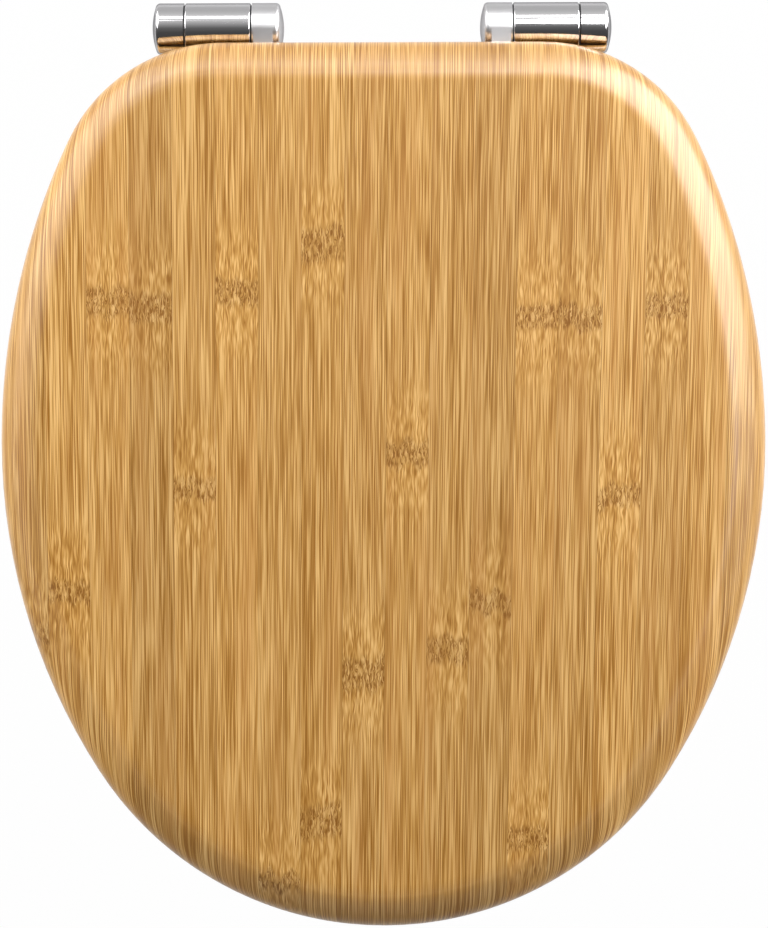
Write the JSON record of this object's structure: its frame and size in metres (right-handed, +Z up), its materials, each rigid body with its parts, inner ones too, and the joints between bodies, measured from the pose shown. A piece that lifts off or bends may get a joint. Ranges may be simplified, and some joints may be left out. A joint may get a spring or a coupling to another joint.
{
  "type": "toilet seat",
  "caption": "Egg-shaped toilet seat with a bamboo-look lid over a matching ring, on chrome soft-close hinges with studs that bolt through the bowl.",
  "frame": {"origin": "midway between the two fixing studs, on the bowl's upper face", "axes": "+X to the right seen from the front, +Y towards the hinges and the back, +Z up"},
  "size_m": [0.358, 0.4347, 0.106],
  "materials": {
    "bamboo_board": "lacquered bamboo strip look, satin gloss",
    "chrome_casting": "polished",
    "damper_plastic": "moulded",
    "slip_nylon": "smooth",
    "steel": "zinc plated",
    "soft_rubber": "matt",
    "buffer_plastic": "milky soft plastic",
    "nut_plastic": "moulded"
  },
  "bodies": {
    "hinges": {"hinge_body_left": "chrome_casting", "damper_housing_left": "damper_plastic", "damper_cap_left": "damper_plastic", "drive_washer_left": "slip_nylon", "pin_washer_left": "slip_nylon", "pivot_pin_left": "steel", "fixing_stud_left": "steel", "plain_washer_left": "steel", "foot_gasket_left": "soft_rubber", "cone_washer_left": "soft_rubber", "wing_nut_left": "nut_plastic", "hinge_body_right": "chrome_casting", "damper_housing_right": "damper_plastic", "damper_cap_right": "damper_plastic", "drive_washer_right": "slip_nylon", "pin_washer_right": "slip_nylon", "pivot_pin_right": "steel", "fixing_stud_right": "steel", "plain_washer_right": "steel", "foot_gasket_right": "soft_rubber", "cone_washer_right": "soft_rubber", "wing_nut_right": "nut_plastic"},
    "seat": {"seat_ring": "bamboo_board", "seat_buffer_front_left": "buffer_plastic", "seat_buffer_front_right": "buffer_plastic", "seat_buffer_rear_left": "buffer_plastic", "seat_buffer_rear_right": "buffer_plastic", "seat_knuckle_left": "chrome_casting", "seat_screws_left": "steel", "seat_knuckle_right": "chrome_casting", "seat_screws_right": "steel", "damper_rotor_right": "damper_plastic"},
    "lid": {"lid": "bamboo_board", "lid_buffer_front_left": "buffer_plastic", "lid_buffer_front_right": "buffer_plastic", "lid_buffer_rear_left": "buffer_plastic", "lid_buffer_rear_right": "buffer_plastic", "lid_knuckle_left": "chrome_casting", "lid_screws_left": "steel", "lid_knuckle_right": "chrome_casting", "lid_screws_right": "steel", "damper_rotor_left": "damper_plastic"}
  },
  "joints": [
    {"name": "seat_hinge", "type": "hinge", "parent": "hinges", "child": "seat", "pos_m": [0, 0.02, 0.022], "axis": [-1, 0, 0], "range_deg": [0, 98]},
    {"name": "lid_hinge", "type": "hinge", "parent": "seat", "child": "lid", "pos_m": [0, 0.02, 0.022], "axis": [-1, 0, 0], "range_deg": [0, 105]}
  ]
}
